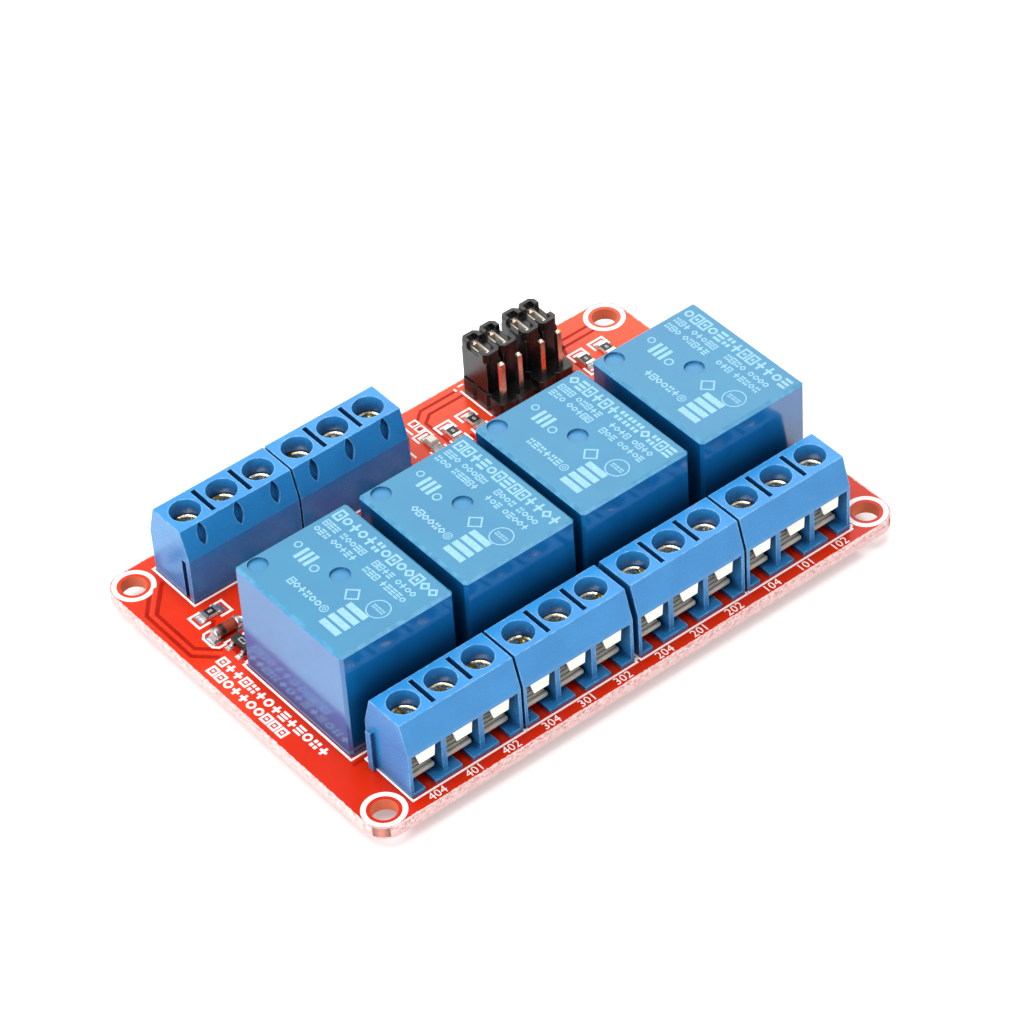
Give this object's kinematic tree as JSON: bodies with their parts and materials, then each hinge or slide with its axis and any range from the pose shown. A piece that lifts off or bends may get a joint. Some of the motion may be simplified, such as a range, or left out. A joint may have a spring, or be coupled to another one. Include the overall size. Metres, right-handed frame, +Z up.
{
  "type": "relay module board",
  "caption": "Rectangular circuit board with a row of box relays, screw terminal blocks along both long edges and small pin headers with jumper caps.",
  "frame": {"origin": "centre of the four mounting holes, on the underside of the board", "axes": "+X along the long edge, +Y from the load terminals to the control terminals, +Z up out of the component side"},
  "size_m": [0.075, 0.052, 0.0185],
  "materials": {
    "board": "glossy solder mask",
    "terminal_plastic": "satin",
    "relay_plastic": "satin",
    "black_plastic": "matt",
    "coupler_plastic": "matt",
    "plated_strip": "tin plated",
    "screw_metal": "nickel plated",
    "pin_metal": "bright",
    "iron": "nickel plated",
    "copper_wire": "enamelled",
    "chip_black": "matt",
    "diode_glass": "clear",
    "lamp_resin": "cloudy clear"
  },
  "bodies": {
    "board": {"circuit_board": "board", "terminal_housing_1": "terminal_plastic", "terminal_contacts_1": "plated_strip", "wire_guards_1": "plated_strip", "terminal_housing_2": "terminal_plastic", "terminal_contacts_2": "plated_strip", "wire_guards_2": "plated_strip", "terminal_housing_3": "terminal_plastic", "terminal_contacts_3": "plated_strip", "wire_guards_3": "plated_strip", "terminal_housing_4": "terminal_plastic", "terminal_contacts_4": "plated_strip", "wire_guards_4": "plated_strip", "terminal_housing_5": "terminal_plastic", "terminal_contacts_5": "plated_strip", "wire_guards_5": "plated_strip", "terminal_housing_6": "terminal_plastic", "terminal_contacts_6": "plated_strip", "wire_guards_6": "plated_strip", "terminal_screws": "screw_metal", "relay_case_1": "relay_plastic", "relay_base_1": "black_plastic", "relay_winding_1": "copper_wire", "relay_yoke_1": "iron", "relay_terminals_1": "plated_strip", "relay_case_2": "relay_plastic", "relay_base_2": "black_plastic", "relay_winding_2": "copper_wire", "relay_yoke_2": "iron", "relay_terminals_2": "plated_strip", "relay_case_3": "relay_plastic", "relay_base_3": "black_plastic", "relay_winding_3": "copper_wire", "relay_yoke_3": "iron", "relay_terminals_3": "plated_strip", "relay_case_4": "relay_plastic", "relay_base_4": "black_plastic", "relay_winding_4": "copper_wire", "relay_yoke_4": "iron", "relay_terminals_4": "plated_strip", "header_bases": "black_plastic", "header_pins": "pin_metal", "resistors": "chip_black", "diodes": "diode_glass", "transistors": "chip_black", "optocouplers": "coupler_plastic", "indicator_lamps": "lamp_resin"},
    "armature_1": {"relay_armature_1": "iron"},
    "armature_2": {"relay_armature_2": "iron"},
    "armature_3": {"relay_armature_3": "iron"},
    "armature_4": {"relay_armature_4": "iron"},
    "jumper_1": {"jumper_cap_1": "black_plastic", "jumper_clip_1": "plated_strip"},
    "jumper_2": {"jumper_cap_2": "black_plastic", "jumper_clip_2": "plated_strip"},
    "jumper_3": {"jumper_cap_3": "black_plastic", "jumper_clip_3": "plated_strip"},
    "jumper_4": {"jumper_cap_4": "black_plastic", "jumper_clip_4": "plated_strip"}
  },
  "joints": [
    {"name": "relay_1_armature", "type": "hinge", "parent": "board", "child": "armature_1", "pos_m": [0.0254, -0.011, 0.0137], "axis": [1, 0, 0], "range_deg": [-3.7, 0], "stiffness_Nm_per_rad": 0.01, "springref_deg": 2.86},
    {"name": "relay_2_armature", "type": "hinge", "parent": "board", "child": "armature_2", "pos_m": [0.0083, -0.011, 0.0137], "axis": [1, 0, 0], "range_deg": [-3.7, 0], "stiffness_Nm_per_rad": 0.01, "springref_deg": 2.86},
    {"name": "relay_3_armature", "type": "hinge", "parent": "board", "child": "armature_3", "pos_m": [-0.0081, -0.011, 0.0137], "axis": [1, 0, 0], "range_deg": [-3.7, 0], "stiffness_Nm_per_rad": 0.01, "springref_deg": 2.86},
    {"name": "relay_4_armature", "type": "hinge", "parent": "board", "child": "armature_4", "pos_m": [-0.025, -0.011, 0.0137], "axis": [1, 0, 0], "range_deg": [-3.7, 0], "stiffness_Nm_per_rad": 0.01, "springref_deg": 2.86},
    {"name": "jumper_1_pull", "type": "slide", "parent": "board", "child": "jumper_1", "axis": [0, 0, 1], "range_m": [0, 0.0065]},
    {"name": "jumper_2_pull", "type": "slide", "parent": "board", "child": "jumper_2", "axis": [0, 0, 1], "range_m": [0, 0.0065]},
    {"name": "jumper_3_pull", "type": "slide", "parent": "board", "child": "jumper_3", "axis": [0, 0, 1], "range_m": [0, 0.0065]},
    {"name": "jumper_4_pull", "type": "slide", "parent": "board", "child": "jumper_4", "axis": [0, 0, 1], "range_m": [0, 0.0065]}
  ]
}
